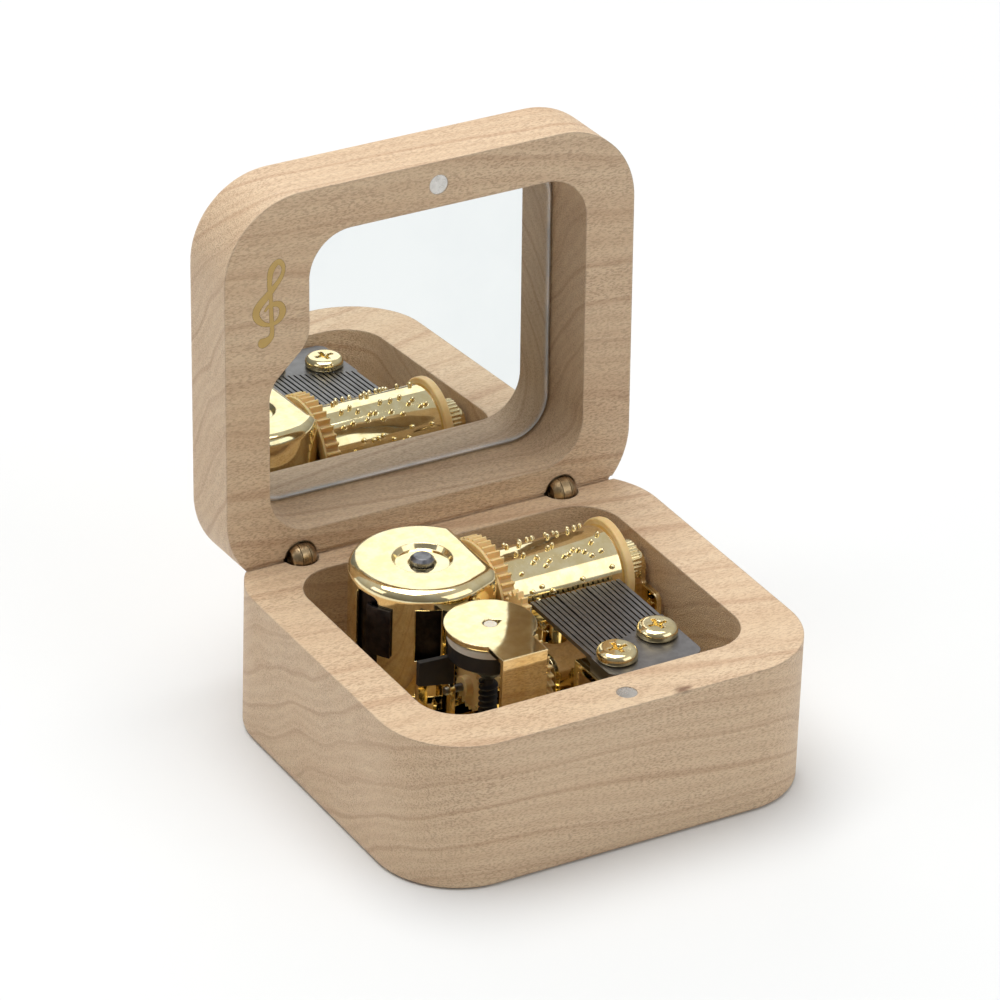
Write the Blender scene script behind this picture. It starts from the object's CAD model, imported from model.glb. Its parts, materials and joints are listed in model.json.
import bpy
import json
from mathutils import Matrix, Vector

# Look of the wooden cylinder music box: materials, floor, light and camera.
# Every visible piece is a node of the frame; this script only gives it a finish.
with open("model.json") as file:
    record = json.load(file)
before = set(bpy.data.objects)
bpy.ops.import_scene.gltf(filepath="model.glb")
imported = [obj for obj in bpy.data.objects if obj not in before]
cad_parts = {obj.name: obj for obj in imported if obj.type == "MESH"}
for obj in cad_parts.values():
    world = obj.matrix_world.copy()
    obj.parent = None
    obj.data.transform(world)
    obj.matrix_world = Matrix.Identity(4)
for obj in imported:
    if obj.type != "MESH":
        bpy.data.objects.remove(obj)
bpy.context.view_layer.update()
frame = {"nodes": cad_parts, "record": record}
nodes = frame["nodes"]
MM = 0.001                                  # metres in a millimetre


# ---------------------------------------------------------------- node helpers
class Mat:
    """Small builder for node materials; positions are in mm of the object's frame."""

    def __init__(self, name):
        self.m = bpy.data.materials.new(name)
        self.m.use_nodes = True
        self.t = self.m.node_tree
        self.t.nodes.clear()
        self.p = self.add("ShaderNodeBsdfPrincipled")
        self.link(self.p.outputs[0], self.add("ShaderNodeOutputMaterial").inputs[0])
        place = self.add("ShaderNodeTexCoord").outputs["Object"]
        self.mm = self.scaled(place, (1 / MM, 1 / MM, 1 / MM))

    def add(self, kind, **props):
        n = self.t.nodes.new(kind)
        for k, v in props.items():
            setattr(n, k, v)
        return n

    def link(self, a, b):
        self.t.links.new(a, b)

    def put(self, socket, value):
        """Link value to the socket if it is an output, or else set it there."""
        if hasattr(value, "is_linked"):
            self.link(value, socket)
        elif isinstance(value, (tuple, list)) and len(value) == 3 and socket.type == "RGBA":
            socket.default_value = (*value, 1)
        else:
            socket.default_value = value

    def set(self, **values):
        """Set inputs of the shader by name, with _ for a space."""
        for k, v in values.items():
            self.put(self.p.inputs[k.replace("_", " ")], v)

    def vec(self, op, a, b):
        n = self.add("ShaderNodeVectorMath", operation=op)
        self.put(n.inputs[0], a)
        self.put(n.inputs[1], b)
        return n.outputs[0]

    def scaled(self, v, s):
        return self.vec("MULTIPLY", v, s)

    def dot(self, v, d):
        n = self.add("ShaderNodeVectorMath", operation="DOT_PRODUCT")
        self.put(n.inputs[0], v)
        self.put(n.inputs[1], d)
        return n.outputs["Value"]

    def math(self, op, a, b=0.0, c=0.0):
        n = self.add("ShaderNodeMath", operation=op)
        for i, v in enumerate((a, b, c)):
            self.put(n.inputs[i], v)
        return n.outputs[0]

    def noise(self, v, scale=1.0, detail=3.0, rough=0.55, distortion=0.0):
        n = self.add("ShaderNodeTexNoise")
        self.put(n.inputs["Vector"], v)
        self.put(n.inputs["Scale"], scale)
        self.put(n.inputs["Detail"], detail)
        self.put(n.inputs["Roughness"], rough)
        self.put(n.inputs["Distortion"], distortion)
        return n.outputs["Fac"]

    def span(self, x, lo, hi, a=0.0, b=1.0):
        """Smooth step of x: a at lo, b at hi."""
        n = self.add("ShaderNodeMapRange", interpolation_type="SMOOTHSTEP")
        for i, v in enumerate((x, lo, hi, a, b)):
            self.put(n.inputs[i], v)
        return n.outputs[0]

    def mix(self, fac, a, b):
        n = self.add("ShaderNodeMix", data_type="RGBA")
        self.put(n.inputs[0], fac)
        self.put(n.inputs[6], a)
        self.put(n.inputs[7], b)
        return n.outputs[2]

    def bevel(self, radius_mm, samples=4):
        """Normal of the surface with its edges rounded."""
        n = self.add("ShaderNodeBevel", samples=samples)
        n.inputs["Radius"].default_value = radius_mm * MM
        return n.outputs[0]

    def edge(self, radius_mm):
        """1 on worn edges, 0 on flat ground."""
        g = self.add("ShaderNodeNewGeometry")
        d = self.dot(self.bevel(radius_mm), g.outputs["Normal"])
        return self.span(d, 0.995, 0.86)

    def bump(self, height, strength, depth_mm, normal=None):
        n = self.add("ShaderNodeBump")
        n.inputs["Strength"].default_value = strength
        n.inputs["Distance"].default_value = depth_mm * MM
        self.put(n.inputs["Height"], height)
        if normal is not None:
            self.put(n.inputs["Normal"], normal)
        self.link(n.outputs[0], self.p.inputs["Normal"])


def srgb(r, g, b):
    """Linear colour of an 8-bit screen colour."""
    return tuple(((c / 255 + 0.055) / 1.055) ** 2.4 if c > 10 else c / 3294.6 for c in (r, g, b))


# ---------------------------------------------------------------- wood
MAPLE = (srgb(220, 190, 154), srgb(233, 210, 178))      # darker and lighter ground
MAPLE_SHADE = srgb(196, 158, 124)
MAPLE_RING = srgb(172, 126, 92)
MAPLE_FIBRE = srgb(190, 154, 122)
MAPLE_FLECK = srgb(140, 98, 68)
MAPLE_PORE = srgb(150, 108, 78)
MAPLE_WORN = srgb(236, 214, 186)
KNOT_COLOUR = srgb(104, 66, 40)
KNOT = (8.2, -30.2, 23.3)                   # mm, on the front rim of the base
KNOT_STRETCH = 0.55                         # the knot is longer along the grain


def knot_mask(w):
    """1 inside the small knot, fading out at its ragged edge."""
    away = w.add("ShaderNodeVectorMath", operation="DISTANCE")
    w.put(away.inputs[0], w.scaled(w.mm, (KNOT_STRETCH, 1.0, 1.0)))
    w.put(away.inputs[1], (KNOT[0] * KNOT_STRETCH, KNOT[1], KNOT[2]))
    ragged = w.noise(w.scaled(w.mm, (0.7, 1.4, 1.4)), 1.0, 3.0)
    d = w.math("MULTIPLY_ADD", ragged, 1.5, away.outputs["Value"])
    return w.span(d, 1.9, 0.9, 0.0, 0.8)


def wood(name, shift, ring_dir, knot=False):
    """Clear-finished maple: long grain along X, dark ray flecks, faint growth rings."""
    w = Mat(name)
    p = w.vec("ADD", w.mm, shift)
    # growth rings are planes across ring_dir, bent by a slow sway along the grain
    sway = w.noise(w.scaled(p, (0.012, 0.05, 0.05)), 1.0, 2.0)
    slow = w.noise(w.scaled(p, (0.02, 0.11, 0.11)), 1.0, 3.0)
    rings = w.math("MULTIPLY_ADD", sway, 9.0, w.dot(p, ring_dir))
    late = w.span(w.math("SINE", w.math("MULTIPLY", rings, 1.25)), 0.86, 1.0)
    shade = w.math("SINE", w.math("MULTIPLY_ADD", slow, 6.0, w.math("MULTIPLY", rings, 3.4)))
    # fibres, ray flecks about a millimetre long, and finer pores
    fibre = w.noise(w.scaled(p, (0.35, 6.0, 6.0)), 1.0, 4.0, 0.6)
    fleck = w.noise(w.scaled(p, (1.5, 5.0, 5.0)), 1.0, 1.5, 0.5, 0.1)
    pore = w.span(w.noise(w.scaled(p, (2.1, 7.0, 7.0)), 1.0, 1.0), 0.50, 0.70)
    patch = w.span(w.noise(w.scaled(p, (0.05, 0.16, 0.16)), 1.0, 2.0), 0.35, 0.70)
    fleck_amount = w.math("MULTIPLY_ADD", patch, 0.16, 0.26)

    base = w.mix(slow, *MAPLE)
    base = w.mix(w.math("MULTIPLY", w.span(shade, -1.0, 1.0), 0.22), base, MAPLE_SHADE)
    base = w.mix(w.math("MULTIPLY", late, 0.30), base, MAPLE_RING)
    base = w.mix(w.math("MULTIPLY", fibre, 0.20), base, MAPLE_FIBRE)
    base = w.mix(w.math("MULTIPLY", w.span(fleck, 0.46, 0.62), fleck_amount), base, MAPLE_FLECK)
    base = w.mix(w.math("MULTIPLY", pore, 0.16), base, MAPLE_PORE)
    if knot:
        base = w.mix(knot_mask(w), base, KNOT_COLOUR)
    base = w.mix(w.math("MULTIPLY", w.edge(0.55), 0.35), base, MAPLE_WORN)
    w.set(Base_Color=base, Roughness=w.math("MULTIPLY_ADD", fibre, 0.22, 0.38))
    w.p.inputs["Specular IOR Level"].default_value = 0.42
    relief = w.math("MULTIPLY_ADD", fleck, -1.6, w.math("MULTIPLY", fibre, 0.7))
    w.bump(relief, 0.8, 0.12, w.bevel(0.45))
    return w.m


# ---------------------------------------------------------------- metals
def metal(name, dark, light, rough, wobble, edge_r, spots=0.0, brush=None, tint=None):
    """Metal with slight colour drift, smudges and softened edges.

    rough: clean and smudged roughness; wobble: strength of the surface's unevenness;
    spots, tint: amount and colour of dirt; brush: noise scale of brushed lines.
    """
    w = Mat(name)
    cloud = w.noise(w.scaled(w.mm, (0.5, 0.5, 0.5)), 1.0, 4.0, 0.6)
    col = w.mix(w.span(cloud, 0.3, 0.7), light, dark)
    smudge = w.span(w.noise(w.scaled(w.mm, (0.23, 0.23, 0.23)), 1.0, 5.0, 0.65), 0.42, 0.72)
    r = w.math("MULTIPLY_ADD", smudge, rough[1] - rough[0], rough[0])
    if tint is not None:
        dirt = w.span(w.noise(w.scaled(w.mm, (1.1, 1.1, 1.1)), 1.0, 5.0, 0.7), 0.45, 0.72)
        col = w.mix(w.math("MULTIPLY", dirt, spots), col, tint)
        r = w.math("MULTIPLY_ADD", dirt, 0.18, r)
    worn = w.edge(edge_r * 1.6)
    col = w.mix(w.math("MULTIPLY", worn, 0.45), col, light)
    swell = w.noise(w.scaled(w.mm, (0.32, 0.32, 0.32)), 1.0, 1.0)
    if brush is not None:
        lines = w.noise(w.scaled(w.mm, brush), 1.0, 3.0, 0.6)
        swell = w.math("MULTIPLY_ADD", lines, 0.5, swell)
        r = w.math("MULTIPLY_ADD", lines, 0.16, r)
    w.set(Base_Color=col, Metallic=1.0, Roughness=r)
    w.bump(swell, wobble, 0.05, w.bevel(edge_r))
    return w.m


MOULD_EDGE = 0.15                           # mm, rounding of moulded edges


def moulded(name, base, deep, rough, soft=0.0, radius=(1.0, 0.6, 0.35)):
    """Moulded plastic: faint flow marks, fine texture and a little light through it."""
    w = Mat(name)
    flow = w.noise(w.scaled(w.mm, (0.22, 0.35, 0.35)), 1.0, 3.0, 0.6, 0.4)
    fine = w.noise(w.scaled(w.mm, (5.0, 5.0, 5.0)), 1.0, 2.0)
    col = w.mix(w.span(flow, 0.3, 0.7), base, deep)
    pale = tuple(min(1.0, c * 1.25 + 0.01) for c in base)
    col = w.mix(w.math("MULTIPLY", w.edge(1.5 * MOULD_EDGE), 0.3), col, pale)
    w.set(Base_Color=col, Roughness=w.math("MULTIPLY_ADD", fine, 0.16, rough))
    w.p.inputs["Subsurface Weight"].default_value = soft
    w.p.inputs["Subsurface Radius"].default_value = radius
    w.p.inputs["Subsurface Scale"].default_value = 1.2 * MM
    w.bump(fine, 0.25, 0.02, w.bevel(MOULD_EDGE))
    return w.m


def mirror():
    """Silvered glass with a faint haze and a few specks of dust."""
    w = Mat("mirror_glass")
    haze = w.span(w.noise(w.scaled(w.mm, (0.06, 0.06, 0.06)), 1.0, 4.0), 0.35, 0.75)
    dust = w.span(w.noise(w.scaled(w.mm, (1.9, 1.9, 1.9)), 1.0, 2.0), 0.80, 0.86)
    col = w.mix(haze, (0.90, 0.925, 0.925), (0.86, 0.89, 0.895))
    g = w.add("ShaderNodeNewGeometry")
    bevel = w.span(w.dot(w.bevel(1.2, 8), g.outputs["Normal"]), 0.9999, 0.994)
    streak = w.noise(w.scaled(w.mm, (0.09, 1.0, 0.09)), 1.0, 2.0)
    edge = w.mix(w.span(streak, 0.36, 0.60), (0.62, 0.70, 0.78), (0.98, 0.99, 1.0))
    w.set(Base_Color=w.mix(bevel, w.mix(dust, col, (0.7, 0.7, 0.68)), edge),
          Metallic=w.math("MULTIPLY_ADD", bevel, -0.9, 1.0),
          Roughness=w.math("MULTIPLY_ADD", bevel, 0.22, w.math("MULTIPLY_ADD", haze, 0.012, 0.004)))
    return w.m


def inlay():
    """Flat brass inlay with a dark glue line along its edges."""
    w = Mat("clef_brass")
    lines = w.noise(w.scaled(w.mm, (7.0, 7.0, 0.9)), 1.0, 3.0)
    cloud = w.noise(w.scaled(w.mm, (0.4, 0.4, 0.4)), 1.0, 3.0)
    col = w.mix(cloud, srgb(182, 152, 92), srgb(204, 176, 116))
    col = w.mix(w.math("MULTIPLY", w.edge(0.16), 0.9), col, srgb(70, 46, 22))
    w.set(Base_Color=col, Metallic=0.75, Roughness=w.math("MULTIPLY_ADD", lines, 0.2, 0.34))
    w.bump(lines, 0.2, 0.02)
    return w.m


looks = {
    "maple_base": wood("maple_base", shift=(0, 0, 0), ring_dir=(0.06, 0.42, 0.91), knot=True),
    "maple_lid": wood("maple_lid", shift=(140, 60, 35), ring_dir=(0.09, 0.80, 0.60)),
    "gold_plate": metal("gold_plate", dark=(0.87, 0.71, 0.38), light=(0.95, 0.83, 0.52),
                        rough=(0.04, 0.10), wobble=0.10, edge_r=0.25),
    "aged_brass": metal("aged_brass", dark=(0.30, 0.205, 0.11), light=(0.55, 0.41, 0.24),
                        rough=(0.30, 0.45), wobble=0.6, edge_r=0.15, spots=0.75,
                        tint=(0.075, 0.05, 0.03)),
    "inlay_brass": inlay(),
    "nickel": metal("nickel", dark=(0.56, 0.54, 0.51), light=(0.70, 0.675, 0.64),
                    rough=(0.24, 0.34), wobble=0.3, edge_r=0.16, spots=0.15,
                    tint=(0.35, 0.34, 0.33)),
    "glass": mirror(),
    "comb_steel": metal("comb_steel", dark=(0.17, 0.163, 0.163), light=(0.22, 0.213, 0.212),
                        rough=(0.28, 0.34), wobble=0.12, edge_r=0.10, brush=(6.0, 0.25, 6.0)),
    "spring_steel": metal("spring_steel", dark=(0.020, 0.018, 0.020), light=(0.060, 0.052, 0.050),
                          rough=(0.30, 0.48), wobble=0.4, edge_r=0.1, spots=0.4,
                          brush=(0.5, 0.5, 6.0), tint=(0.10, 0.06, 0.045)),
    "bright_steel": metal("bright_steel", dark=(0.14, 0.14, 0.155), light=(0.27, 0.27, 0.285),
                          rough=(0.20, 0.32), wobble=0.3, edge_r=0.2, spots=0.2,
                          brush=(5.0, 5.0, 5.0), tint=(0.10, 0.10, 0.11)),
    "nylon": moulded("nylon", base=(0.80, 0.585, 0.28), deep=(0.72, 0.49, 0.205), rough=0.34,
                     soft=0.35, radius=(1.0, 0.6, 0.25)),
    "ivory_plastic": moulded("ivory_plastic", base=(0.80, 0.74, 0.64), deep=(0.72, 0.65, 0.54),
                             rough=0.32, soft=0.2),
    "black_plastic": moulded("black_plastic", base=(0.012, 0.011, 0.012),
                             deep=(0.02, 0.019, 0.02), rough=0.34),
    "zinc": metal("zinc", dark=(0.50, 0.51, 0.53), light=(0.72, 0.73, 0.74), rough=(0.24, 0.38),
                  wobble=0.5, edge_r=0.15, spots=0.35, tint=(0.33, 0.33, 0.34)),
}
for part in frame["record"]["subparts"]:
    node = nodes[part["node"]]
    node.data.materials.clear()
    node.data.materials.append(looks[part["material_slot"]])


# ---------------------------------------------------------------- floor
FLOOR_SIZE, FLOOR_GAP = 8.0, 0.00005        # metres; the gap keeps the two faces apart


def paper():
    """Pale matt paper, very slightly uneven in tone."""
    w = Mat("paper_floor")
    tone = w.noise(w.scaled(w.mm, (0.004, 0.004, 0.004)), 1.0, 2.0)
    w.set(Base_Color=w.mix(tone, (0.775, 0.785, 0.79), (0.80, 0.81, 0.815)), Roughness=0.85)
    w.p.inputs["Specular IOR Level"].default_value = 0.15
    return w.m


bpy.ops.mesh.primitive_plane_add(size=FLOOR_SIZE, location=(0, 0, -FLOOR_GAP))
floor = bpy.context.object
floor.name = "floor_paper"
floor.data.materials.append(paper())


# ---------------------------------------------------------------- light
AIM = (0, 0, 0.03)                          # middle of the box, metres


def softbox(name, place, aim, size, power, colour=(1, 1, 1)):
    """Rectangular lamp at place, turned to aim; metres and watts."""
    data = bpy.data.lights.new(name, "AREA")
    data.shape = "RECTANGLE"
    data.size, data.size_y = size
    data.energy = power
    data.color = colour
    lamp = bpy.data.objects.new(name, data)
    bpy.context.scene.collection.objects.link(lamp)
    lamp.location = place
    lamp.rotation_euler = (Vector(aim) - Vector(place)).to_track_quat("-Z", "Y").to_euler()


softbox("top_light", (-0.10, 0.22, 1.25), (0, 0, 0.02), (1.2, 0.9), 14.0, (1.0, 0.995, 0.98))
softbox("front_light", (0.58, -0.97, 0.63), AIM, (1.0, 0.8), 2.7, (1.0, 1.0, 0.985))
softbox("left_light", (-1.15, 0.25, 0.60), AIM, (0.5, 0.5), 1.0, (1.0, 0.985, 0.975))
softbox("back_light", (0.30, 1.30, 0.75), AIM, (0.9, 0.4), 2.4)


def studio():
    """White studio, greyer near the ground and with a dimmer quarter at the front left."""
    world = bpy.data.worlds.new("studio")
    world.use_nodes = True
    tree = world.node_tree
    tree.nodes.clear()
    new, link = tree.nodes.new, tree.links.new
    look = new("ShaderNodeTexCoord").outputs["Generated"]

    # brightness by height: -1 to 1 becomes 0 to 1, then runs from grey to white
    split = new("ShaderNodeSeparateXYZ")
    height = new("ShaderNodeMath")
    height.operation = "MULTIPLY_ADD"
    height.inputs[1].default_value = height.inputs[2].default_value = 0.5
    fade = new("ShaderNodeValToRGB")
    low, high = fade.color_ramp.elements
    low.position, low.color = 0.42, (0.42, 0.41, 0.40, 1)
    high.position, high.color = 0.80, (1.0, 1.0, 1.0, 1)
    link(look, split.inputs[0])
    link(split.outputs["Z"], height.inputs[0])
    link(height.outputs[0], fade.inputs[0])

    # strength by direction
    toward = new("ShaderNodeVectorMath")
    toward.operation = "DOT_PRODUCT"
    toward.inputs[1].default_value = (-0.66, -0.72, 0.20)
    dim = new("ShaderNodeMapRange")
    for socket, value in (("From Min", 0.2), ("From Max", 0.85), ("To Min", 0.55), ("To Max", 0.24)):
        dim.inputs[socket].default_value = value
    link(look, toward.inputs[0])
    link(toward.outputs["Value"], dim.inputs["Value"])

    sky = new("ShaderNodeBackground")
    link(fade.outputs[0], sky.inputs["Color"])
    link(dim.outputs["Result"], sky.inputs["Strength"])
    link(sky.outputs[0], new("ShaderNodeOutputWorld").inputs[0])
    return world


bpy.context.scene.world = studio()


# ---------------------------------------------------------------- camera
CAMERA_PLACE = Vector((-0.3813305, -0.6303111, 0.4510045))
CAMERA_AXES = (Vector((0.866123, -0.498936, 0.029898)),     # right
               Vector((0.220524, 0.435126, 0.872946)),      # up
               Vector((-0.448554, -0.749485, 0.486900)))    # back
lens = bpy.data.cameras.new("camera")
lens.sensor_width, lens.lens = 36.0, 215.092
lens.shift_x, lens.shift_y = -0.0015205, 0.0002243
lens.clip_start, lens.clip_end = 0.01, 50.0
camera = bpy.data.objects.new("camera", lens)
bpy.context.scene.collection.objects.link(camera)
turn = Matrix(CAMERA_AXES).transposed().to_4x4()
camera.matrix_world = Matrix.Translation(CAMERA_PLACE) @ turn
bpy.context.scene.camera = camera
bpy.context.scene.view_settings.view_transform = "Standard"
